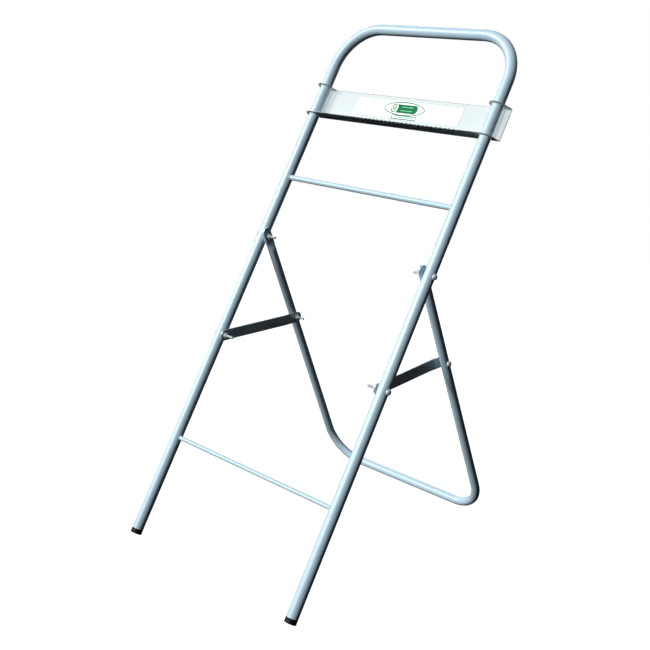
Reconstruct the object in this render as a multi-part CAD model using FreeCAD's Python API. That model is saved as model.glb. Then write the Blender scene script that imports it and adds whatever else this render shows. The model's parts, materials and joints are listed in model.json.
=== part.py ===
import FreeCAD, Part
import math
import os

# Floor stand for a wide roll of wiping paper: a tall front frame that leans back, a shorter
# U-shaped rear frame bolted inside it, two flat strip links, and a serrated tear bar that
# slides on the front legs.
#
# Row frame: X across the stand, Y from the front feet to the rear, Z up, millimetres.
# The origin is on the floor, in the middle of the whole object's box.
#
# Each frame is drawn in its own plane and then placed:
#   front frame   x across, y up the leg from the foot's end face, z out of the front of the frame
#   rear frame    x across, y down the leg from the pivot bolt, z out of the rear of the frame

V = FreeCAD.Vector
X_AXIS = V(1, 0, 0)
Y_AXIS = V(0, 1, 0)
Z_AXIS = V(0, 0, 1)
SIDES = {"left": -1, "right": 1}

# --- front frame ---------------------------------------------------------------------------
FRONT_LEAN = 32.4            # degrees from upright
FRONT_TUBE_D = 25.4
FRONT_WALL = 1.6
FRONT_SPACING = 503.0        # leg axis to leg axis
FRONT_LENGTH = 1281.0        # foot's end face to the top bar's axis
FRONT_BEND_R = 103.0         # at the tube's centreline
CROSSBAR_AT = 885.0          # along the leg
CROSSBAR_D = 12.7
CROSSBAR_WALL = 1.2
LOWER_ROD_AT = 232.0
LOWER_ROD_D = 10.0
PIVOT_AT = 735.0
LINK_FRONT_AT = 484.5

# --- foot caps -----------------------------------------------------------------------------
CAP_HEIGHT = 11.0
CAP_CHAMFER = 0.6
CAP_PLUG_LENGTH = 24.0
CAP_PLUG_CLEARANCE = 0.1
CAP_RIB_PITCH = 6.0
CAP_RIB_DEPTH = 0.8

# --- rear frame ----------------------------------------------------------------------------
REAR_LEAN = 20.8             # degrees from upright, the other way
REAR_TUBE_D = 20.0
REAR_WALL = 1.5
REAR_SPACING = 470.0
REAR_BEND_R = 80.0
LINK_REAR_AT = 227.0         # down the leg from the pivot
FLAT_WIDTH = 24.0            # pressed-flat top end of each rear leg
FLAT_THICKNESS = 7.0
FLAT_ABOVE = 21.5            # top of the end above the pivot
FLAT_BELOW = 14.0            # where the flat starts to open out
ROUND_BELOW = 36.0           # where it is round again
FLARE_STEPS = 6

# --- bolts, washers and nuts (M6) ----------------------------------------------------------
BOLT_D = 6.0
THREAD_D = 5.35              # free end past the nut: a plain rod at the M6 thread's pitch diameter
BOLT_HOLE_D = 6.6
PIVOT_HOLE_D = 6.15          # running fit on the bolt
BOLT_TIP_CHAMFER = 0.7
HEAD_D = 13.4
HEAD_HEIGHT = 6.2
HEAD_RIM = 1.8
LONG_BOLT = 55.0             # under the head, through a front leg
SHORT_BOLT = 45.0            # through a rear leg
WASHER_D = 12.0
WASHER_T = 1.2
NUT_ACROSS_FLATS = 10.0
NUT_HEIGHT = 5.0
NUT_CHAMFER_ANGLE = 30.0
THREAD_CLEARANCE = 0.05
STACK_GAP = 0.2              # between pieces that turn against each other
PIVOT_GAP = 0.3

# --- links ---------------------------------------------------------------------------------
LINK_WIDTH = 25.0
LINK_THICKNESS = 3.0
LINK_FRONT_FLAT = 24.0       # straight stretch behind the front bolt
LINK_REAR_FLAT = 36.0        # straight stretch ahead of the rear bolt
LINK_SLOT_TILT = 17.0        # the hook's slot leans forward, degrees
LINK_SLOT_CLEARANCE = 0.3

# --- tear bar ------------------------------------------------------------------------------
TEAR_LOW = 1048.0            # channel's lower face, along the front leg
TEAR_HIGH = 1123.0
TEAR_HALF_WIDTH = 279.5
SHEET = 1.5
PLATE_FRONT = -13.5          # front face of the back plate, behind the leg axes
BEND_INSIDE_R = 1.0
FLANGE_FRONT = 20.0
LUG_HOLE_R = 14.0
LUG_NOSE_R = 20.0
LUG_ROOT_INSIDE = 24.5       # inward of the leg axis
TOOTH_COUNT = 32
TOOTH_PITCH = 12.0
TOOTH_DEPTH = 4.0
LABEL_WIDTH = 312.0
LABEL_HEIGHT = 47.5
LABEL_THICKNESS = 0.4
LABEL_ABOVE_MIDDLE = 6.0
LABEL_OFFSET_X = 4.5

# --- worked out ----------------------------------------------------------------------------
front_half = FRONT_SPACING / 2
rear_half = REAR_SPACING / 2
front_r = FRONT_TUBE_D / 2
rear_r = REAR_TUBE_D / 2
bolt_r = BOLT_D / 2


def up_front_leg(distance, foot):
    """The point of the row frame at a distance up the front leg's axis."""
    lean = math.radians(FRONT_LEAN)
    return foot + V(0, math.sin(lean), math.cos(lean)) * distance


def foot_point():
    """Centre of a foot's end face: its rear edge touches the floor."""
    lean = math.radians(FRONT_LEAN)
    height = (front_r - CAP_CHAMFER) * math.sin(lean)
    front_reach = front_r * math.cos(lean) - CAP_CHAMFER * math.sin(lean)
    rear_reach = FRONT_LENGTH * math.sin(lean) + front_r
    return V(0, (front_reach - rear_reach) / 2, height)


foot = foot_point()
pivot = up_front_leg(PIVOT_AT, foot)
link_front = up_front_leg(LINK_FRONT_AT, foot)
rear_lean = math.radians(REAR_LEAN)
link_rear = pivot + V(0, math.sin(rear_lean), -math.cos(rear_lean)) * LINK_REAR_AT
rear_length = (pivot.z - rear_r) / math.cos(rear_lean)

front_plane = FreeCAD.Placement(foot, FreeCAD.Rotation(X_AXIS, 90 - FRONT_LEAN))
rear_plane = FreeCAD.Placement(pivot, FreeCAD.Rotation(X_AXIS, REAR_LEAN - 90))

# Faces along X, from the middle of the stand outwards, on the side where x is positive.
front_outer = front_half + front_r
front_inner = front_half - front_r
rear_outer = rear_half + rear_r
rear_inner = rear_half - rear_r
flat_inner = front_inner - PIVOT_GAP - FLAT_THICKNESS
link_front_inner = front_inner - STACK_GAP - LINK_THICKNESS
link_rear_inner = rear_inner - STACK_GAP - LINK_THICKNESS


# --- small helpers -------------------------------------------------------------------------
def placed(shape, plane):
    moved = shape.copy()
    moved.Placement = plane.multiply(moved.Placement)
    return moved


def cylinder_along_x(radius, x_low, x_high, y=0.0, z=0.0):
    return Part.makeCylinder(radius, x_high - x_low, V(x_low, y, z), X_AXIS)


def mirrored_to(shape, side):
    """A shape drawn on the +X side, for the side asked for."""
    return shape if side > 0 else shape.mirror(V(0, 0, 0), X_AXIS)


def revolved_along_x(outline):
    """Turns an outline of (x, radius) points about the X axis."""
    points = [V(x, radius, 0) for x, radius in outline]
    face = Part.Face(Part.makePolygon(points + points[:1]))
    return face.revolve(V(0, 0, 0), X_AXIS, 360)


def u_path(half_spacing, leg_start, bar_at, bend_r):
    """Centreline of a U-shaped tube: a leg, a bend, the bar, a bend and the other leg."""
    corner = bend_r * (1 - math.sqrt(0.5))
    low_left = V(-half_spacing, leg_start, 0)
    bend_left = V(-half_spacing, bar_at - bend_r, 0)
    bar_left = V(-half_spacing + bend_r, bar_at, 0)
    bar_right = V(half_spacing - bend_r, bar_at, 0)
    bend_right = V(half_spacing, bar_at - bend_r, 0)
    low_right = V(half_spacing, leg_start, 0)
    middle_left = V(-half_spacing + corner, bar_at - corner, 0)
    middle_right = V(half_spacing - corner, bar_at - corner, 0)
    edges = [
        Part.LineSegment(low_left, bend_left).toShape(),
        Part.Arc(bend_left, middle_left, bar_left).toShape(),
        Part.LineSegment(bar_left, bar_right).toShape(),
        Part.Arc(bar_right, middle_right, bend_right).toShape(),
        Part.LineSegment(bend_right, low_right).toShape(),
    ]
    return Part.Wire(edges)


def u_rod(half_spacing, leg_start, bar_at, bend_r, radius):
    """A solid round bar swept along a U."""
    path = u_path(half_spacing, leg_start, bar_at, bend_r)
    ring = Part.Wire(Part.makeCircle(radius, V(-half_spacing, leg_start, 0), Y_AXIS))
    return path.makePipeShell([ring], True, True)


# --- front frame ---------------------------------------------------------------------------
def front_tube():
    outside = u_rod(front_half, CAP_HEIGHT, FRONT_LENGTH, FRONT_BEND_R, front_r)
    inside = u_rod(front_half, CAP_HEIGHT, FRONT_LENGTH, FRONT_BEND_R, front_r - FRONT_WALL)
    tube = outside.cut(inside)
    for side in SIDES.values():
        for along in (PIVOT_AT, LINK_FRONT_AT):
            middle = side * front_half
            hole = cylinder_along_x(BOLT_HOLE_D / 2, middle - front_r - 2, middle + front_r + 2, along)
            tube = tube.cut(hole)
    return placed(tube, front_plane)


def between_front_legs(diameter, along):
    """A round bar whose ends are coped to the legs' inner sides."""
    bar = cylinder_along_x(diameter / 2, -front_half, front_half, along)
    for side in SIDES.values():
        leg = Part.makeCylinder(front_r, 80, V(side * front_half, along - 40, 0), Y_AXIS)
        bar = bar.cut(leg)
    return bar


def upper_crossbar():
    bar = between_front_legs(CROSSBAR_D, CROSSBAR_AT)
    hollow = cylinder_along_x(CROSSBAR_D / 2 - CROSSBAR_WALL, -front_half, front_half, CROSSBAR_AT)
    return placed(bar.cut(hollow), front_plane)


def lower_rod():
    return placed(between_front_legs(LOWER_ROD_D, LOWER_ROD_AT), front_plane)


def foot_cap(side):
    """Plastic plug: a head flush with the tube and a ribbed stem inside it."""
    head = Part.makeCylinder(front_r, CAP_HEIGHT, V(0, 0, 0), Y_AXIS)
    bottom = [edge for edge in head.Edges if abs(edge.BoundBox.YMax) < 0.01]
    head = head.makeChamfer(CAP_CHAMFER, bottom)
    stem_r = front_r - FRONT_WALL - CAP_PLUG_CLEARANCE
    stem = Part.makeCylinder(stem_r - CAP_RIB_DEPTH, CAP_PLUG_LENGTH, V(0, CAP_HEIGHT, 0), Y_AXIS)
    cap = head.fuse(stem)
    for rib in range(int(CAP_PLUG_LENGTH / CAP_RIB_PITCH)):
        start = V(0, CAP_HEIGHT + (rib + 0.5) * CAP_RIB_PITCH, 0)
        cap = cap.fuse(Part.makeCone(stem_r, stem_r - CAP_RIB_DEPTH, CAP_RIB_PITCH / 3, start, Y_AXIS))
    cap = cap.removeSplitter()
    cap.translate(V(side * front_half, 0, 0))
    return placed(cap, front_plane)


# --- rear frame ----------------------------------------------------------------------------
def leg_section(y, opened, inset):
    """Outline across a rear leg: flat when opened is 0, round when it is 1."""
    flat_x = FLAT_THICKNESS / 2 - inset
    flat_z = FLAT_WIDTH / 2 - FLAT_THICKNESS / 2
    round_r = rear_r - inset
    diagonal = round_r * math.sqrt(0.5)

    def blend(flat, full):
        return flat + (full - flat) * opened

    corner_x = blend(flat_x, diagonal)
    corner_z = blend(flat_z, diagonal)
    side_x = blend(flat_x, round_r)
    end_z = blend(flat_z + flat_x, round_r)
    corners = [V(corner_x, y, -corner_z), V(corner_x, y, corner_z),
               V(-corner_x, y, corner_z), V(-corner_x, y, -corner_z)]
    middles = [V(side_x, y, 0), V(0, y, end_z), V(-side_x, y, 0), V(0, y, -end_z)]
    edges = []
    for index, middle in enumerate(middles):
        start = corners[index]
        end = corners[(index + 1) % 4]
        straight = (start + end) * 0.5
        if (middle - straight).Length < 1e-6:
            edges.append(Part.LineSegment(start, end).toShape())
        else:
            edges.append(Part.Arc(start, middle, end).toShape())
    return Part.Wire(edges)


def leg_flare(inset):
    """The stretch where the flat end opens out into the round tube."""
    sections = []
    for step in range(FLARE_STEPS + 1):
        part = step / FLARE_STEPS
        opened = part * part * (3 - 2 * part)
        sections.append(leg_section(FLAT_BELOW + (ROUND_BELOW - FLAT_BELOW) * part, opened, inset))
    return Part.makeLoft(sections, True, False)


def leg_end():
    """Solid pressed end: flat sides, rounded top, and the flare below it."""
    outline = Part.Face(leg_section(-FLAT_ABOVE, 0, 0))
    flat = outline.extrude(V(0, FLAT_BELOW + FLAT_ABOVE, 0))
    round_top = V(0, FLAT_WIDTH / 2 - FLAT_ABOVE, 0)
    keep = cylinder_along_x(FLAT_WIDTH / 2, -rear_r, rear_r, round_top.y)
    keep = keep.fuse(Part.makeBox(2 * rear_r, FLAT_ABOVE + FLAT_BELOW, FLAT_WIDTH,
                                  V(-rear_r, round_top.y, -FLAT_WIDTH / 2)))
    return flat.common(keep).fuse(leg_flare(0))


def rear_tube():
    outside = u_rod(rear_half, ROUND_BELOW, rear_length, REAR_BEND_R, rear_r)
    inside = u_rod(rear_half, ROUND_BELOW, rear_length, REAR_BEND_R, rear_r - REAR_WALL)
    for side in SIDES.values():
        end = leg_end()
        end.translate(V(side * rear_half, 0, 0))
        outside = outside.fuse(end)
        hollow = leg_flare(REAR_WALL)
        hollow.translate(V(side * rear_half, 0, 0))
        inside = inside.fuse(hollow)
    tube = outside.cut(inside)
    for side in SIDES.values():
        reach = rear_r + 2
        middle = side * rear_half
        tube = tube.cut(cylinder_along_x(PIVOT_HOLE_D / 2, middle - reach, middle + reach))
        tube = tube.cut(cylinder_along_x(BOLT_HOLE_D / 2, middle - reach, middle + reach, LINK_REAR_AT))
    return placed(tube, rear_plane)


# --- fasteners, drawn on the +X side with their axis along X --------------------------------
def bolt(side, head_under, length, nut_face, at):
    """Dome-headed bolt: the head is outside, the free end runs in from the nut's inner face."""
    head_r = HEAD_D / 2
    dome = HEAD_HEIGHT - HEAD_RIM
    ball_r = (head_r ** 2 + dome ** 2) / (2 * dome)
    ball = Part.makeSphere(ball_r, V(head_under + HEAD_HEIGHT - ball_r, 0, 0))
    head = cylinder_along_x(head_r, head_under, head_under + HEAD_HEIGHT + 1).common(ball)
    tip = head_under - length
    thread_r = THREAD_D / 2
    shank = revolved_along_x([
        (tip, 0),
        (tip, thread_r - BOLT_TIP_CHAMFER),
        (tip + BOLT_TIP_CHAMFER, thread_r),
        (nut_face, thread_r),
        (nut_face, bolt_r),
        (head_under + HEAD_RIM / 2, bolt_r),
        (head_under + HEAD_RIM / 2, 0),
    ])
    whole = mirrored_to(head.fuse(shank), side)
    whole.translate(V(0, at.y, at.z))
    return whole


def washer(side, seat, at):
    """Flat washer whose outer face is at x = seat."""
    ring = cylinder_along_x(WASHER_D / 2, seat - WASHER_T, seat)
    ring = ring.cut(cylinder_along_x(bolt_r + STACK_GAP, seat - WASHER_T, seat))
    ring = mirrored_to(ring, side)
    ring.translate(V(0, at.y, at.z))
    return ring


def nut(side, seat, at):
    """Hexagon nut, chamfered on both faces, whose outer face is at x = seat."""
    corner_r = NUT_ACROSS_FLATS / math.sqrt(3)
    corners = [V(seat - NUT_HEIGHT, corner_r * math.cos(math.radians(60 * k)),
                 corner_r * math.sin(math.radians(60 * k))) for k in range(6)]
    hexagon = Part.Face(Part.makePolygon(corners + corners[:1])).extrude(V(NUT_HEIGHT, 0, 0))
    flat_r = NUT_ACROSS_FLATS / 2
    drop = (corner_r - flat_r) * math.tan(math.radians(NUT_CHAMFER_ANGLE))
    barrel = revolved_along_x([
        (seat, 0),
        (seat, flat_r),
        (seat - drop, corner_r),
        (seat - NUT_HEIGHT + drop, corner_r),
        (seat - NUT_HEIGHT, flat_r),
        (seat - NUT_HEIGHT, 0),
    ])
    body = hexagon.common(barrel)
    body = body.cut(cylinder_along_x(bolt_r + THREAD_CLEARANCE, seat - NUT_HEIGHT, seat))
    body = mirrored_to(body, side)
    body.translate(V(0, at.y, at.z))
    return body


# --- links ---------------------------------------------------------------------------------
def link(side):
    """Flat strip, set over inwards by two slight bends, from the front bolt to a hook.

    It is drawn along y from the front bolt, with its front end's inner face on x = 0.
    """
    length = (link_rear - link_front).Length
    end = LINK_WIDTH / 2
    shift = link_rear_inner - link_front_inner
    centre = [
        (0.0, -end),
        (0.0, LINK_FRONT_FLAT),
        (shift, length - LINK_REAR_FLAT),
        (shift, length + end),
    ]
    inner = [V(x, y, -end) for x, y in centre]
    outer = [V(x + LINK_THICKNESS, y, -end) for x, y in reversed(centre)]
    strip = Part.Face(Part.makePolygon(inner + outer + inner[:1])).extrude(V(0, 0, LINK_WIDTH))
    x_low = shift - 1
    x_high = LINK_THICKNESS + 1
    rounded = Part.makeBox(x_high - x_low, length, LINK_WIDTH, V(x_low, 0, -end))
    rounded = rounded.fuse(cylinder_along_x(end, x_low, x_high))
    rounded = rounded.fuse(cylinder_along_x(end, x_low, x_high, length))
    strip = strip.common(rounded)
    strip = strip.cut(cylinder_along_x(PIVOT_HOLE_D / 2, x_low, x_high))
    slot_r = bolt_r + LINK_SLOT_CLEARANCE
    slot = Part.makeBox(x_high - x_low, 2 * slot_r, LINK_WIDTH, V(x_low, -slot_r, 0))
    slot = slot.fuse(cylinder_along_x(slot_r, x_low, x_high))
    slot.rotate(V(0, 0, 0), X_AXIS, LINK_SLOT_TILT)
    slot.translate(V(0, length, 0))
    strip = strip.cut(slot)
    strip.translate(V(link_front_inner, 0, 0))
    strip = mirrored_to(strip, side)
    slope = math.degrees(math.atan2(link_rear.z - link_front.z, link_rear.y - link_front.y))
    plane = FreeCAD.Placement(V(0, link_front.y, link_front.z), FreeCAD.Rotation(X_AXIS, slope))
    return placed(strip, plane)


# --- tear bar ------------------------------------------------------------------------------
def tangent_point(corner, centre, radius, turn):
    """Where the tangent from a corner touches a circle; turn is 1 or -1."""
    reach = corner - centre
    angle = math.atan2(reach.y, reach.x) + turn * math.acos(radius / reach.Length)
    return centre + V(math.cos(angle), math.sin(angle), 0) * radius


def outline_solid(edges, low, high):
    """A prism up the leg from an outline drawn with x across and y out of the frame's front."""
    prism = Part.Face(Part.Wire(edges)).extrude(V(0, 0, high - low))
    prism.rotate(V(0, 0, 0), X_AXIS, -90)
    flipped = prism.mirror(V(0, 0, 0), Z_AXIS)
    flipped.translate(V(0, low, 0))
    return flipped


def lines(points):
    return [Part.LineSegment(a, b).toShape() for a, b in zip(points, points[1:])]


def lug_outline(side):
    """A lug round one leg: two straight flanks and a round nose."""
    axis = V(side * front_half, 0, 0)
    root_in = V(side * (front_half - LUG_ROOT_INSIDE), PLATE_FRONT, 0)
    root_out = V(side * TEAR_HALF_WIDTH, PLATE_FRONT, 0)
    touch_in = tangent_point(root_in, axis, LUG_NOSE_R, -side)
    touch_out = tangent_point(root_out, axis, LUG_NOSE_R, side)
    back = V(0, -SHEET, 0)
    nose = axis + V(0, LUG_NOSE_R, 0)
    edges = lines([touch_out, root_out, root_out + back, root_in + back, root_in, touch_in])
    edges.append(Part.Arc(touch_in, nose, touch_out).toShape())
    return edges


def flange_outline():
    """The lower flange: a lug's nose at each end and saw teeth along the front."""
    edges = []
    teeth_from = -TOOTH_COUNT * TOOTH_PITCH / 2
    front = [V(-front_half, FLANGE_FRONT, 0), V(teeth_from, FLANGE_FRONT, 0)]
    for tooth in range(TOOTH_COUNT):
        start = teeth_from + tooth * TOOTH_PITCH
        front.append(V(start + TOOTH_PITCH / 2, FLANGE_FRONT - TOOTH_DEPTH, 0))
        front.append(V(start + TOOTH_PITCH, FLANGE_FRONT, 0))
    front.append(V(front_half, FLANGE_FRONT, 0))
    edges += lines(front)
    corners = {}
    for side in SIDES.values():
        axis = V(side * front_half, 0, 0)
        root = V(side * TEAR_HALF_WIDTH, PLATE_FRONT, 0)
        touch = tangent_point(root, axis, LUG_NOSE_R, side)
        middle = (touch - axis + V(0, LUG_NOSE_R, 0)).normalize() * LUG_NOSE_R + axis
        edges.append(Part.Arc(axis + V(0, LUG_NOSE_R, 0), middle, touch).toShape())
        corners[side] = [touch, root, root + V(0, -SHEET, 0)]
    edges += lines(corners[-1] + corners[1][::-1])
    return Part.__sortEdges__(edges)


def tear_channel():
    """Sheet-metal channel: back plate, toothed lower flange and two upper lugs."""
    plate_back = PLATE_FRONT - SHEET
    width = 2 * TEAR_HALF_WIDTH
    depth = FLANGE_FRONT - plate_back
    height = TEAR_HIGH - TEAR_LOW
    corner = V(-TEAR_HALF_WIDTH, TEAR_LOW, plate_back)
    block = Part.makeBox(width, height, depth, corner)
    outer_edges = [e for e in block.Edges if abs(e.BoundBox.XLength - width) < 0.1
                   and e.BoundBox.ZMax < plate_back + 0.1]
    block = block.makeFillet(BEND_INSIDE_R + SHEET, outer_edges)
    hollow = Part.makeBox(width, height - 2 * SHEET, depth, corner + V(0, SHEET, SHEET))
    inner_edges = [e for e in hollow.Edges if abs(e.BoundBox.XLength - width) < 0.1
                   and e.BoundBox.ZMax < PLATE_FRONT + 0.1]
    channel = block.cut(hollow.makeFillet(BEND_INSIDE_R, inner_edges))
    middle = (TEAR_LOW + TEAR_HIGH) / 2
    keep = Part.makeBox(width, height, SHEET, corner)
    keep = keep.fuse(outline_solid(flange_outline(), TEAR_LOW, middle - LABEL_HEIGHT / 2))
    for side in SIDES.values():
        keep = keep.fuse(outline_solid(lug_outline(side), middle + LABEL_HEIGHT / 2, TEAR_HIGH))
    channel = channel.common(keep)
    for side in SIDES.values():
        channel = channel.cut(Part.makeCylinder(LUG_HOLE_R, height + 4,
                                                V(side * front_half, TEAR_LOW - 2, 0), Y_AXIS))
    return placed(channel.removeSplitter(), front_plane)


def label():
    """Thin plate stuck to the front of the channel's back plate."""
    middle = (TEAR_LOW + TEAR_HIGH) / 2 + LABEL_ABOVE_MIDDLE
    sheet = Part.makeBox(LABEL_WIDTH, LABEL_HEIGHT, LABEL_THICKNESS,
                         V(LABEL_OFFSET_X - LABEL_WIDTH / 2, middle - LABEL_HEIGHT / 2, PLATE_FRONT))
    return placed(sheet, front_plane)


# --- all pieces ----------------------------------------------------------------------------
def all_pieces():
    pieces = {
        "front_tube": front_tube(),
        "upper_crossbar": upper_crossbar(),
        "lower_rod": lower_rod(),
        "rear_tube": rear_tube(),
        "tear_channel": tear_channel(),
        "label": label(),
    }
    stacks = {
        "pivot": (pivot, front_outer, LONG_BOLT, flat_inner),
        "link_front": (link_front, front_outer, LONG_BOLT, link_front_inner),
        "link_rear": (link_rear, rear_outer, SHORT_BOLT, link_rear_inner),
    }
    for side_name, side in SIDES.items():
        pieces["foot_cap_" + side_name] = foot_cap(side)
        pieces["link_" + side_name] = link(side)
        for stack, (at, head_under, length, inner_face) in stacks.items():
            seat = inner_face - STACK_GAP
            nut_seat = seat - WASHER_T
            pieces[stack + "_bolt_" + side_name] = bolt(side, head_under, length, nut_seat - NUT_HEIGHT, at)
            pieces[stack + "_washer_" + side_name] = washer(side, seat, at)
            pieces[stack + "_nut_" + side_name] = nut(side, nut_seat, at)
    return pieces


os.makedirs("parts", exist_ok=True)
for name, shape in all_pieces().items():
    shape.exportStep("parts/" + name + ".step")
    box = shape.BoundBox
    print("%-24s valid %s  solids %d  volume %9.1f  x %.1f..%.1f  y %.1f..%.1f  z %.1f..%.1f" % (
        name, shape.isValid(), len(shape.Solids), shape.Volume,
        box.XMin, box.XMax, box.YMin, box.YMax, box.ZMin, box.ZMax))
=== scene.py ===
import json
import math

import bmesh
import bpy
from mathutils import Matrix, Vector

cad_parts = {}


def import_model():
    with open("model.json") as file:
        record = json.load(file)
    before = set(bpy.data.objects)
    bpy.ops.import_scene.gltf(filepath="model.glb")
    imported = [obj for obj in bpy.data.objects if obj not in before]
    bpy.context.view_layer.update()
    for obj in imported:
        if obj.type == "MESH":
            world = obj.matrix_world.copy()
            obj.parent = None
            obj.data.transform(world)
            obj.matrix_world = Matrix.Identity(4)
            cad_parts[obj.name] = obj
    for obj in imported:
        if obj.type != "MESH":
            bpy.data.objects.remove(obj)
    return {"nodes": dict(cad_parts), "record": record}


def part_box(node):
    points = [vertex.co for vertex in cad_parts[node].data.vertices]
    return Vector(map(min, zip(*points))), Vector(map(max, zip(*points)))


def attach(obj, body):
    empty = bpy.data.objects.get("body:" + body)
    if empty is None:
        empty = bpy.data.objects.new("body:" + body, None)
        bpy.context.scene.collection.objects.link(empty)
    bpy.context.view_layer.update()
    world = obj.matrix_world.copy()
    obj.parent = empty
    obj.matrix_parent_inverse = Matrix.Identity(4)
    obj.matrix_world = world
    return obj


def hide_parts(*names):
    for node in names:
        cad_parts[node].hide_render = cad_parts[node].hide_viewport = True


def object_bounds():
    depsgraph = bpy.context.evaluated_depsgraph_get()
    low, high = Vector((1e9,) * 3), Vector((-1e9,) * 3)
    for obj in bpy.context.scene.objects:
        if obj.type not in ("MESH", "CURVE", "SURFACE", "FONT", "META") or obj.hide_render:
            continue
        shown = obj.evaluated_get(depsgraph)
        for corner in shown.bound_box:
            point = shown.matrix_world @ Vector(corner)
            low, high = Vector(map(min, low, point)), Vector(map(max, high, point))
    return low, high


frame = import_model()
cad_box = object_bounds()
scene = bpy.context.scene
MM = 0.001
SIDES = {"left": -1, "right": 1}
X_AXIS = Vector((1, 0, 0))

# --- places, read from the frame -------------------------------------------------------------
joints = {joint["name"]: joint for joint in frame["record"]["behaviour"]["joints"]}
up_leg = Vector(joints["tear_bar_slide"]["axis"]).normalized()
frame_back = up_leg.cross(X_AXIS)           # out of the rear of the front frame


def node_middle(node):
    low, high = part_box(node)
    return (Vector(low) + Vector(high)) / 2


def node_size(node):
    low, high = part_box(node)
    return Vector(high) - Vector(low)


front_axis_x = node_middle("foot_cap_right").x
front_radius = node_size("foot_cap_right").x / 2


# --- node helpers ----------------------------------------------------------------------------
class Nodes:
    """A material's node tree, with short calls to add nodes and links.

    Noise scales are in features for each metre, and bump distances are in metres.
    """

    def __init__(self, name):
        self.material = bpy.data.materials.new(name)
        self.material.use_nodes = True
        self.tree = self.material.node_tree
        self.shader = self.tree.nodes["Principled BSDF"]

    def add(self, kind, settings=None, **inputs):
        node = self.tree.nodes.new(kind)
        for key, value in (settings or {}).items():
            setattr(node, key, value)
        for key, value in inputs.items():
            self.set(node, key.replace("_", " "), value)
        return node

    def set(self, node, key, value):
        socket = node.inputs[int(key) if key.isdigit() else key]
        if isinstance(value, bpy.types.NodeSocket):
            self.tree.links.new(value, socket)
        else:
            socket.default_value = value

    def base(self, **inputs):
        for key, value in inputs.items():
            self.set(self.shader, key.replace("_", " "), value)

    def coordinates(self):
        return self.add("ShaderNodeTexCoord").outputs["Object"]

    def noise(self, scale, detail, roughness=0.5, vector=None):
        return self.add("ShaderNodeTexNoise", Vector=vector or self.coordinates(),
                        Scale=scale, Detail=detail, Roughness=roughness).outputs["Fac"]

    def ramp(self, factor, stops):
        node = self.add("ShaderNodeValToRGB", Fac=factor)
        elements = node.color_ramp.elements
        while len(elements) < len(stops):
            elements.new(0.5)
        for element, (position, colour) in zip(elements, stops):
            element.position = position
            element.color = (*colour, 1)
        return node.outputs["Color"]

    def range(self, value, low, high, to_low, to_high):
        node = self.add("ShaderNodeMapRange", Value=value)
        for key, number in (("From Min", low), ("From Max", high), ("To Min", to_low), ("To Max", to_high)):
            node.inputs[key].default_value = number
        return node.outputs["Result"]

    def mix(self, factor, first, second, blend="MIX"):
        node = self.add("ShaderNodeMix", {"data_type": "RGBA", "blend_type": blend})
        self.set(node, "0", factor)
        self.set(node, "6", first)
        self.set(node, "7", second)
        return node.outputs[2]

    def math(self, operation, first, second):
        node = self.add("ShaderNodeMath", {"operation": operation})
        self.set(node, "0", first)
        self.set(node, "1", second)
        return node.outputs[0]

    def bump(self, height, strength, distance):
        self.base(Normal=self.add("ShaderNodeBump", Height=height, Strength=strength,
                                  Distance=distance).outputs["Normal"])

    def edges(self, radius):
        """1 near a sharp edge, 0 elsewhere."""
        worn = self.add("ShaderNodeBevel", {"samples": 4}, Radius=radius).outputs["Normal"]
        flat = self.add("ShaderNodeNewGeometry").outputs["Normal"]
        dot = self.add("ShaderNodeVectorMath", {"operation": "DOT_PRODUCT"})
        self.set(dot, "0", worn)
        self.set(dot, "1", flat)
        return self.range(dot.outputs["Value"], 1.0, 0.85, 0.0, 1.0)


# --- materials -------------------------------------------------------------------------------
def silver_paint():
    """Smooth silver-blue metallic enamel: fine flake, slight orange peel, a few faint scuffs."""
    m = Nodes("silver_paint")
    flake = m.noise(1800, 2.0)
    cloud = m.noise(6, 3.0)
    scuff = m.ramp(m.noise(38, 8.0, 0.7), [(0.0, (0, 0, 0)), (0.66, (0, 0, 0)), (0.74, (1, 1, 1))])
    tone = m.ramp(cloud, [(0.3, (0.44, 0.57, 0.67)), (0.7, (0.47, 0.60, 0.70))])
    tone = m.mix(m.range(flake, 0.4, 0.7, 0.0, 0.12), tone, (0.80, 0.86, 0.90, 1))
    m.base(Base_Color=tone, Metallic=0.12, Specular_IOR_Level=0.45)
    rough = m.range(cloud, 0.3, 0.7, 0.36, 0.42)
    m.base(Roughness=m.math("ADD", rough, m.math("MULTIPLY", scuff, 0.10)))
    m.bump(m.math("ADD", m.noise(420, 2.0), m.math("MULTIPLY", scuff, -0.4)), 0.05, 0.0004)
    return m.material


def zinc_plate():
    """Bright zinc on fasteners: pale metal and mottled crystals, paler on the sharp corners."""
    m = Nodes("zinc_plate")
    crystal = m.add("ShaderNodeTexVoronoi", Vector=m.coordinates(), Scale=900).outputs["Color"]
    patch = m.noise(260, 5.0, 0.6)
    tone = m.ramp(patch, [(0.3, (0.58, 0.64, 0.68)), (0.7, (0.76, 0.81, 0.84))])
    tone = m.mix(0.10, tone, crystal, "OVERLAY")
    # The sharp corners are mixed towards a paler colour.
    m.base(Base_Color=m.mix(m.edges(0.0004), tone, (0.93, 0.95, 0.96, 1)), Metallic=0.35)
    m.base(Roughness=m.range(patch, 0.3, 0.7, 0.22, 0.38))
    m.bump(patch, 0.08, 0.0003)
    return m.material


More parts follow.
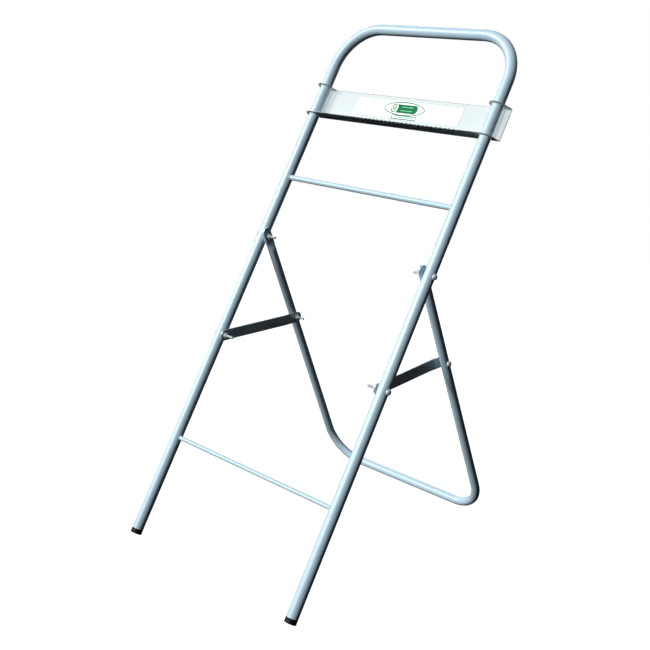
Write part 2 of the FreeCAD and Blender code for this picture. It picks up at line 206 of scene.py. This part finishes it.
def link_steel():
    """Plated strip with a rolled grain along its length, and a painted highlight along its edges."""
    m = Nodes("link_steel")
    mapped = m.add("ShaderNodeMapping", Vector=m.coordinates())
    mapped.inputs["Scale"].default_value = (1, 0.05, 1)
    grain = m.noise(900, 3.0, 0.6, mapped.outputs["Vector"])
    patch = m.noise(30, 4.0)
    tone = m.ramp(grain, [(0.3, (0.50, 0.57, 0.62)), (0.7, (0.58, 0.64, 0.69))])
    tone = m.mix(m.range(patch, 0.35, 0.7, 0.0, 0.15), tone, (0.66, 0.71, 0.74, 1))
    # Painted highlight: a band along every sharp edge is mixed towards pale, as if lit.
    m.base(Base_Color=m.mix(m.edges(0.0009), tone, (0.85, 0.88, 0.90, 1)), Metallic=0.5)
    m.base(Roughness=m.range(grain, 0.3, 0.7, 0.36, 0.50))
    m.bump(grain, 0.06, 0.0003)
    return m.material


def white_paint():
    """Satin white enamel on sheet steel, with a light orange peel and near-black cut edges: partly unpainted
    steel, partly painted shade that outlines the sheet.
    """
    m = Nodes("white_paint")
    cloud = m.noise(9, 3.0)
    tone = m.ramp(cloud, [(0.3, (0.555, 0.58, 0.59)), (0.7, (0.59, 0.615, 0.625))])
    # Painted shade: a band along every cut edge is mixed towards near black, partly as unpainted steel,
    # partly as a dark outline where light would fall.
    unpainted_and_shaded_edges = m.math("MULTIPLY", m.edges(0.0016), m.range(m.noise(160, 5.0), 0.35, 0.6, 0.8, 1.0))
    m.base(Base_Color=m.mix(unpainted_and_shaded_edges, tone, (0.03, 0.033, 0.036, 1)), Specular_IOR_Level=0.2)
    m.base(Roughness=m.range(m.noise(70, 3.0), 0.3, 0.7, 0.48, 0.56))
    m.bump(m.noise(480, 2.0), 0.05, 0.0004)
    return m.material


def label_film():
    """Satin white film with a very faint paper tooth and slight yellowing."""
    m = Nodes("label_film")
    tone = m.ramp(m.noise(14, 4.0), [(0.3, (0.84, 0.85, 0.84)), (0.7, (0.88, 0.89, 0.88))])
    m.base(Base_Color=tone, Specular_IOR_Level=0.2)
    m.base(Roughness=m.range(m.noise(90, 3.0), 0.3, 0.7, 0.44, 0.52))
    m.bump(m.noise(1300, 2.0), 0.03, 0.0002)
    return m.material


def ink(name, dark, light):
    """Printed ink: slightly uneven cover over the film."""
    m = Nodes(name)
    cover = m.noise(700, 4.0, 0.6)
    m.base(Base_Color=m.ramp(cover, [(0.35, dark), (0.7, light)]), Specular_IOR_Level=0.1)
    m.base(Roughness=m.range(cover, 0.3, 0.7, 0.48, 0.58))
    m.bump(cover, 0.03, 0.0001)
    return m.material


def black_plastic():
    """Moulded black plastic with a fine spark texture and floor scuffs near the end."""
    m = Nodes("black_plastic")
    spark = m.noise(1100, 3.0, 0.6)
    scuff = m.ramp(m.noise(120, 7.0, 0.7), [(0.0, (0, 0, 0)), (0.58, (0, 0, 0)), (0.68, (1, 1, 1))])
    tone = m.mix(m.math("MULTIPLY", scuff, 0.35), (0.005, 0.005, 0.006, 1), (0.04, 0.04, 0.042, 1))
    m.base(Base_Color=tone, Specular_IOR_Level=0.3, Roughness=m.range(spark, 0.3, 0.7, 0.45, 0.60))
    m.bump(spark, 0.15, 0.0003)
    return m.material


def weld_metal():
    """Weld bead under the same paint: duller and rougher than the tube."""
    m = Nodes("weld_paint")
    ripple = m.noise(500, 4.0, 0.6)
    m.base(Base_Color=m.ramp(ripple, [(0.3, (0.46, 0.53, 0.58)), (0.7, (0.58, 0.65, 0.70))]))
    m.base(Metallic=0.5, Roughness=m.range(ripple, 0.3, 0.7, 0.34, 0.46))
    m.bump(ripple, 0.2, 0.0006)
    return m.material


MATERIALS = {
    "silver_paint": silver_paint(),
    "zinc_plate": zinc_plate(),
    "link_steel": link_steel(),
    "white_paint": white_paint(),
    "label_film": label_film(),
    "black_plastic": black_plastic(),
}
green_ink = ink("green_ink", (0.002, 0.12, 0.040), (0.005, 0.17, 0.060))
pale_ink = ink("pale_green_ink", (0.12, 0.46, 0.26), (0.18, 0.54, 0.32))
grey_ink = ink("grey_ink", (0.34, 0.40, 0.42), (0.42, 0.48, 0.50))
weld_paint = weld_metal()

for subpart in frame["record"]["subparts"]:
    node = frame["nodes"][subpart["node"]]
    for place in node.material_slots:
        place.material = MATERIALS[subpart["material_slot"]]


# --- mesh helpers ----------------------------------------------------------------------------
def mesh_piece(name, points, faces, material, body, smooth=True):
    """An added piece that rides on a body and holds a material slot."""
    mesh = bpy.data.meshes.new(name)
    mesh.from_pydata([tuple(point) for point in points], [], faces)
    mesh.update()
    made = bmesh.new()
    made.from_mesh(mesh)
    bmesh.ops.remove_doubles(made, verts=made.verts, dist=1e-7)
    bmesh.ops.recalc_face_normals(made, faces=made.faces)
    made.to_mesh(mesh)
    made.free()
    mesh.materials.append(material)
    for face in mesh.polygons:
        face.use_smooth = smooth
    piece = bpy.data.objects.new(name, mesh)
    scene.collection.objects.link(piece)
    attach(piece, body)
    return piece


def skin(rings):
    """Faces between a row of closed rings of equal length."""
    count = len(rings[0])
    points = [point for ring in rings for point in ring]
    faces = []
    for ring in range(len(rings) - 1):
        for k in range(count):
            a = ring * count + k
            b = ring * count + (k + 1) % count
            faces.append((a, b, b + count, a + count))
    return points, faces


# --- weld beads ------------------------------------------------------------------------------
BEAD_STEPS = 96
BEAD_SECTION = 10
BEAD_R = 1.5 * MM
RIPPLES = 15                       # round one bead, each with a rise of RIPPLE_SHARE of its radius
RIPPLE_SHARE = 0.16
WOBBLES = 4                        # slow changes round one bead
WOBBLE_SHARE = 0.08


def weld_bead(name, bar_node, side):
    """A rippled fillet round the joint between a crossbar and a leg."""
    middle = node_middle(bar_node)
    bar_r = node_size(bar_node).z / 2
    rings = []
    for step in range(BEAD_STEPS):
        turn = math.tau * step / BEAD_STEPS
        radial = up_leg * math.cos(turn) + frame_back * math.sin(turn)
        ripple = RIPPLE_SHARE * math.sin(turn * RIPPLES)
        wobble = WOBBLE_SHARE * math.sin(turn * WOBBLES + side)
        swell = BEAD_R * (1 + ripple + wobble)
        across = bar_r * math.sin(turn)
        reach = math.sqrt(front_radius ** 2 - across ** 2)
        centre = middle + radial * bar_r
        centre.x = side * (front_axis_x - reach)
        ring = []
        for k in range(BEAD_SECTION):
            angle = math.tau * k / BEAD_SECTION
            ring.append(centre + (X_AXIS * math.cos(angle) + radial * math.sin(angle)) * swell)
        rings.append(ring)
    points, faces = skin(rings + [rings[0]])
    mesh_piece(name, points, faces, weld_paint, "front_frame")


for bar_node in ("upper_crossbar", "lower_rod"):
    for side_name, side in SIDES.items():
        weld_bead("weld_" + bar_node + "_" + side_name, bar_node, side)


# --- threaded bolts --------------------------------------------------------------------------
BOLT_R = 3.0 * MM
THREAD_PITCH = 1.0 * MM
THREAD_DEPTH = 0.40 * MM
THREAD_SEGMENTS = 24
THREAD_ROWS = 4                    # rows of points for each turn of the thread
THREAD_PAST_NUT = 2.0 * MM
THREAD_RUN_OUT = 1.0 * MM          # over which the groove fades into the shank
TIP_CHAMFER = 1.2 * MM             # its length along the bolt
TIP_DEPTH = THREAD_DEPTH * 1.4
HEAD_DOME = 4.4 * MM
HEAD_RIM = 1.8 * MM
RIM_CHAMFER = 0.2 * MM
NECK_SHARE = 0.9                   # the head's underside starts just inside the shank
DOME_ROWS = 14
DOME_SEGMENTS = 48
SHARP_ANGLE = math.radians(40)


def threaded_bolt(stack, side_name, body):
    """Dome-headed bolt with a real helical thread along its inner half."""
    side = SIDES[side_name]
    node = stack + "_bolt_" + side_name
    low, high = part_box(node)
    middle = node_middle(node)
    head_r = node_size(node).z / 2
    outer = high[0] if side > 0 else -low[0]
    tip = low[0] if side > 0 else -high[0]
    nut_low, nut_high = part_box(stack + "_nut_" + side_name)
    thread_end = (nut_high[0] if side > 0 else -nut_low[0]) + THREAD_PAST_NUT
    under_head = outer - HEAD_DOME - HEAD_RIM

    def point_at(x, radius, turn):
        return Vector((side * x, middle.y + radius * math.cos(turn), middle.z + radius * math.sin(turn)))

    def ring_at(x, radius, segments):
        return [point_at(x, radius, math.tau * k / segments) for k in range(segments)]

    def thread_radius(x, turn):
        phase = (x / THREAD_PITCH - turn / math.tau) % 1.0
        groove = THREAD_DEPTH * (1 - abs(2 * phase - 1))
        run_out = min(1.0, max(0.0, (thread_end - x) / THREAD_RUN_OUT))
        chamfer = TIP_DEPTH * (1 - min(1.0, (x - tip) / TIP_CHAMFER))
        return BOLT_R - max(groove * run_out, chamfer)

    rows = int((thread_end - tip) / THREAD_PITCH * THREAD_ROWS)
    turns = [math.tau * k / THREAD_SEGMENTS for k in range(THREAD_SEGMENTS)]
    rings = []
    for row in range(rows + 1):
        x = tip + (thread_end - tip) * row / rows
        rings.append([point_at(x, thread_radius(x, turn), turn) for turn in turns])
    rings.append(ring_at(under_head, BOLT_R, THREAD_SEGMENTS))
    points, faces = skin(rings)
    faces.append(tuple(range(THREAD_SEGMENTS)))

    head = [ring_at(under_head, BOLT_R * NECK_SHARE, DOME_SEGMENTS),
            ring_at(under_head, head_r - RIM_CHAMFER, DOME_SEGMENTS),
            ring_at(under_head + RIM_CHAMFER, head_r, DOME_SEGMENTS),
            ring_at(outer - HEAD_DOME, head_r, DOME_SEGMENTS)]
    ball_r = (head_r ** 2 + HEAD_DOME ** 2) / (2 * HEAD_DOME)
    widest = math.asin(head_r / ball_r)
    for row in range(1, DOME_ROWS):
        angle = widest * (1 - row / DOME_ROWS)
        head.append(ring_at(outer - ball_r * (1 - math.cos(angle)), ball_r * math.sin(angle), DOME_SEGMENTS))
    head_points, head_faces = skin(head)
    start = len(points)
    crown = start + len(head_points)
    last = crown - DOME_SEGMENTS
    points += head_points + [Vector((side * outer, middle.y, middle.z))]
    faces += [tuple(start + index for index in face) for face in head_faces]
    faces += [(last + k, last + (k + 1) % DOME_SEGMENTS, crown) for k in range(DOME_SEGMENTS)]
    bolt = mesh_piece("threaded_" + node, points, faces, MATERIALS["zinc_plate"], body)
    bolt.data.set_sharp_from_angle(angle=SHARP_ANGLE)
    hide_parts(node)


for side_name in SIDES:
    threaded_bolt("pivot", side_name, "front_frame")
    threaded_bolt("link_front", side_name, "front_frame")
    threaded_bolt("link_rear", side_name, "rear_frame")


# --- label print -----------------------------------------------------------------------------
# In the label's own plane, across is X and up is up the leg. Ink stands out towards the front.
LABEL_HEIGHT = 47.5 * MM
LABEL_THICKNESS = 0.4 * MM
LABEL_MARGIN = 0.4 * MM            # both sides together
BORDER_WIDTH = 2.8 * MM            # both sides together
PRINT_LIFT = 0.06 * MM
OVAL_POINTS = 72
ARC_STEPS = 36
label_width = node_size("label").x
label_face = node_middle("label") - frame_back * LABEL_THICKNESS / 2


def on_label(across, up, lift):
    """A point that stands lift out of the label's face."""
    return label_face + X_AXIS * across + up_leg * up - frame_back * lift


def printed(name, loops, material, lift=PRINT_LIFT):
    """A flat printed patch: a band between two outlines of equal length, or one filled outline."""
    if len(loops) == 2:
        points, faces = skin([[on_label(*p, lift) for p in loop] for loop in loops])
    else:
        points = [on_label(*p, lift) for p in loops[0]]
        faces = [tuple(range(len(points)))]
    mesh_piece(name, points, faces, material, "tear_bar", smooth=False)


def oval(width, height, centre):
    turns = [math.tau * k / OVAL_POINTS for k in range(OVAL_POINTS)]
    return [(centre[0] + width / 2 * math.cos(turn), centre[1] + height / 2 * math.sin(turn))
            for turn in turns]


def rectangle(width, height, centre=(0.0, 0.0)):
    x, y = centre
    return [(x - width / 2, y - height / 2), (x + width / 2, y - height / 2),
            (x + width / 2, y + height / 2), (x - width / 2, y + height / 2)]


EMBLEM_MIDDLE = (-6 * MM, 3.5 * MM)
EMBLEM_SIZE = (118 * MM, 34 * MM)
EMBLEM_LINE = 2.4 * MM
ROLL_R = 10.5 * MM                 # the pictured roll's end
ROLL_FLATTEN = 0.75                # its width as a share of its height
ROLL_ENDS = (-30 * MM, 30 * MM)    # from the emblem's middle
ROLL_LINE = 2.6 * MM
CORE_SHARE = 0.45                  # the core's size as a share of the roll's end
ROLL_GAP = 3.5 * MM                # between the roll's end and its body
ROLL_NEAR_ANGLE = 78               # the body's near edge stops this far above and below, in degrees
ROLL_FAR_ANGLE = 90
STRIPE_SIZE = (34 * MM, 2.4 * MM)
STRIPE_ACROSS = 8 * MM
STRIPE_UP = 4.5 * MM
BANNER_MIDDLE = (1 * MM, -17.5 * MM)
BANNER_SIZE = (72 * MM, 9.5 * MM)
BANNER_INSIDE = (68.4 * MM, 6.3 * MM)
BANNER_BAR = (57.6 * MM, 2.2 * MM)


def from_middle(across, up=0.0):
    return (EMBLEM_MIDDLE[0] + across, EMBLEM_MIDDLE[1] + up)


def roll_arc(start, end, across):
    """Part of the outline of the roll's end, between two angles in degrees."""
    arc = []
    for k in range(ARC_STEPS + 1):
        angle = math.radians(start + (end - start) * k / ARC_STEPS)
        arc.append(from_middle(across + ROLL_R * ROLL_FLATTEN * math.cos(angle), ROLL_R * math.sin(angle)))
    return arc


width = label_width - LABEL_MARGIN
height = LABEL_HEIGHT - LABEL_MARGIN
printed("label_border", [rectangle(width, height),
                         rectangle(width - BORDER_WIDTH, height - BORDER_WIDTH)], grey_ink)

# A plain picture of a paper roll in an oval, over an empty banner.
width, height = EMBLEM_SIZE
printed("print_oval", [oval(width, height, EMBLEM_MIDDLE),
                       oval(width - 2 * EMBLEM_LINE, height - 2 * EMBLEM_LINE, EMBLEM_MIDDLE)], green_ink)
near_end, far_end = ROLL_ENDS
for name, radius in (("print_roll_rim", ROLL_R), ("print_roll_core", ROLL_R * CORE_SHARE)):
    outer = oval(2 * radius * ROLL_FLATTEN, 2 * radius, from_middle(near_end))
    inner = oval(2 * (radius - ROLL_LINE) * ROLL_FLATTEN, 2 * (radius - ROLL_LINE), from_middle(near_end))
    printed(name, [outer, inner], green_ink)
near_edge = roll_arc(ROLL_NEAR_ANGLE, -ROLL_NEAR_ANGLE, near_end + ROLL_GAP)
far_edge = roll_arc(-ROLL_FAR_ANGLE, ROLL_FAR_ANGLE, far_end)
printed("print_roll_body", [near_edge + far_edge], green_ink)
for stripe in (-1, 1):
    middle = from_middle(STRIPE_ACROSS, stripe * STRIPE_UP)
    printed("print_roll_stripe_%d" % (stripe + 1), [rectangle(*STRIPE_SIZE, middle)],
            pale_ink, 2 * PRINT_LIFT)
printed("print_banner", [rectangle(*BANNER_SIZE, BANNER_MIDDLE),
                         rectangle(*BANNER_INSIDE, BANNER_MIDDLE)], green_ink)
printed("print_banner_bar", [rectangle(*BANNER_BAR, BANNER_MIDDLE)], pale_ink)


# --- stage: floor, world and lights ----------------------------------------------------------
stand_middle = (Vector(cad_box[0]) + Vector(cad_box[1])) / 2
FLOOR_RADIUS = 2.7
FLOOR_SEGMENTS = 96
FLOOR_DARK = (0.30, 0.30, 0.30)
FLOOR_LIGHT = (0.31, 0.31, 0.31)
FLOOR_GLOW = 0.90                  # keeps the floor pale inside the soft shadow
FAR_TINT = (0.95, 1.0, 1.0)
SHADE = (0.004, 0.005, 0.006, 1)   # what the object sees where no light stands
# Directions from the stand towards each light.
KEY_FROM = Vector((-0.174, -0.775, 0.607))
SIDE_FROM = Vector((-0.70, -0.50, 0.50))
FRONT_FROM = Vector((0.85, -0.35, 0.40))
BACK_FROM = Vector((-0.64, 0.72, 0.27))
REAR_FROM = Vector((0.50, 0.80, 0.30))
SOFT_BOX_AWAY = 5.0


def floor():
    """Plain pale floor. It doesn't show in the object's reflections, and throws no light back up."""
    m = Nodes("floor_paper")
    tone = m.ramp(m.noise(0.8, 3.0), [(0.3, FLOOR_DARK), (0.7, FLOOR_LIGHT)])
    m.base(Base_Color=tone, Roughness=0.9, Specular_IOR_Level=0.0)
    m.base(Emission_Color=(1, 1, 1, 1), Emission_Strength=FLOOR_GLOW)
    m.bump(m.noise(260, 3.0), 0.02, 0.0004)
    rim = []
    for k in range(FLOOR_SEGMENTS):
        turn = math.tau * k / FLOOR_SEGMENTS
        rim.append((FLOOR_RADIUS * math.cos(turn), FLOOR_RADIUS * math.sin(turn), 0))
    mesh = bpy.data.meshes.new("floor")
    mesh.from_pydata(rim, [], [tuple(range(FLOOR_SEGMENTS))])
    mesh.materials.append(m.material)
    sheet = bpy.data.objects.new("floor", mesh)
    sheet.visible_diffuse = False
    sheet.visible_glossy = False
    scene.collection.objects.link(sheet)


def world():
    """A white backdrop to look at, and a dim studio for light and reflections."""
    made = bpy.data.worlds.new("studio")
    made.use_nodes = True
    scene.world = made
    tree = made.node_tree
    shade = tree.nodes["Background"]
    shade.inputs["Color"].default_value = SHADE
    backdrop = tree.nodes.new("ShaderNodeBackground")
    backdrop.inputs["Color"].default_value = (1, 1, 1, 1)
    seen = tree.nodes.new("ShaderNodeLightPath").outputs["Is Camera Ray"]
    mix = tree.nodes.new("ShaderNodeMixShader")
    tree.links.new(seen, mix.inputs[0])
    tree.links.new(shade.outputs[0], mix.inputs[1])
    tree.links.new(backdrop.outputs[0], mix.inputs[2])
    tree.links.new(mix.outputs[0], tree.nodes["World Output"].inputs["Surface"])


def soft_box(name, direction, size, watts):
    """A round soft light, SOFT_BOX_AWAY metres from the object; size is in metres."""
    light = bpy.data.lights.new(name, "AREA")
    light.shape = "DISK"
    light.size = size
    light.energy = watts
    lamp = bpy.data.objects.new(name, light)
    lamp.location = stand_middle + direction.normalized() * SOFT_BOX_AWAY
    lamp.rotation_mode = "QUATERNION"
    lamp.rotation_quaternion = direction.to_track_quat("Z", "Y")
    scene.collection.objects.link(lamp)


def far_light(name, direction, strength, spread, shadow=True):
    """A light far away, with the same strength over the whole object; spread is in degrees.

    Without a shadow it lights evenly, like a bounce card, and doesn't show in reflections.
    """
    light = bpy.data.lights.new(name, "SUN")
    light.energy = strength
    light.angle = math.radians(spread)
    light.color = FAR_TINT
    light.use_shadow = shadow
    lamp = bpy.data.objects.new(name, light)
    lamp.visible_glossy = shadow
    lamp.rotation_mode = "QUATERNION"
    lamp.rotation_quaternion = direction.to_track_quat("Z", "Y")
    scene.collection.objects.link(lamp)


floor()
world()
far_light("key", KEY_FROM, strength=1.4, spread=5)
far_light("key_fill", KEY_FROM, strength=2.3, spread=5, shadow=False)
far_light("side", SIDE_FROM, strength=1.4, spread=6)
soft_box("front_fill", FRONT_FROM, size=1.5, watts=3)
soft_box("back_fill", BACK_FROM, size=3.0, watts=60)
soft_box("rear_fill", REAR_FROM, size=3.0, watts=8)
scene.view_settings.view_transform = "Standard"

# --- camera ----------------------------------------------------------------------------------
CAMERA_YAW = math.radians(44.327)
CAMERA_PITCH = math.radians(15.845)
CAMERA_ROLL = math.radians(0.279)
CAMERA_PLACE = (1.6116, -1.6145, 1.2194)
CAMERA_LENS = 60.74
CAMERA_SENSOR = 36
CAMERA_SHIFT = (-0.0166, -0.0652)


def camera():
    across = Vector((math.cos(CAMERA_YAW), math.sin(CAMERA_YAW), 0))
    back = Vector((math.sin(CAMERA_YAW) * math.cos(CAMERA_PITCH),
                   -math.cos(CAMERA_YAW) * math.cos(CAMERA_PITCH), math.sin(CAMERA_PITCH)))
    up = back.cross(across)
    rolled_across = across * math.cos(CAMERA_ROLL) + up * math.sin(CAMERA_ROLL)
    rolled_up = up * math.cos(CAMERA_ROLL) - across * math.sin(CAMERA_ROLL)
    data = bpy.data.cameras.new("camera")
    data.lens = CAMERA_LENS
    data.sensor_width = CAMERA_SENSOR
    data.shift_x, data.shift_y = CAMERA_SHIFT
    view = bpy.data.objects.new("camera", data)
    turn = Matrix((rolled_across, rolled_up, back)).transposed()
    view.matrix_world = Matrix.Translation(CAMERA_PLACE) @ turn.to_4x4()
    scene.collection.objects.link(view)
    scene.camera = view


camera()
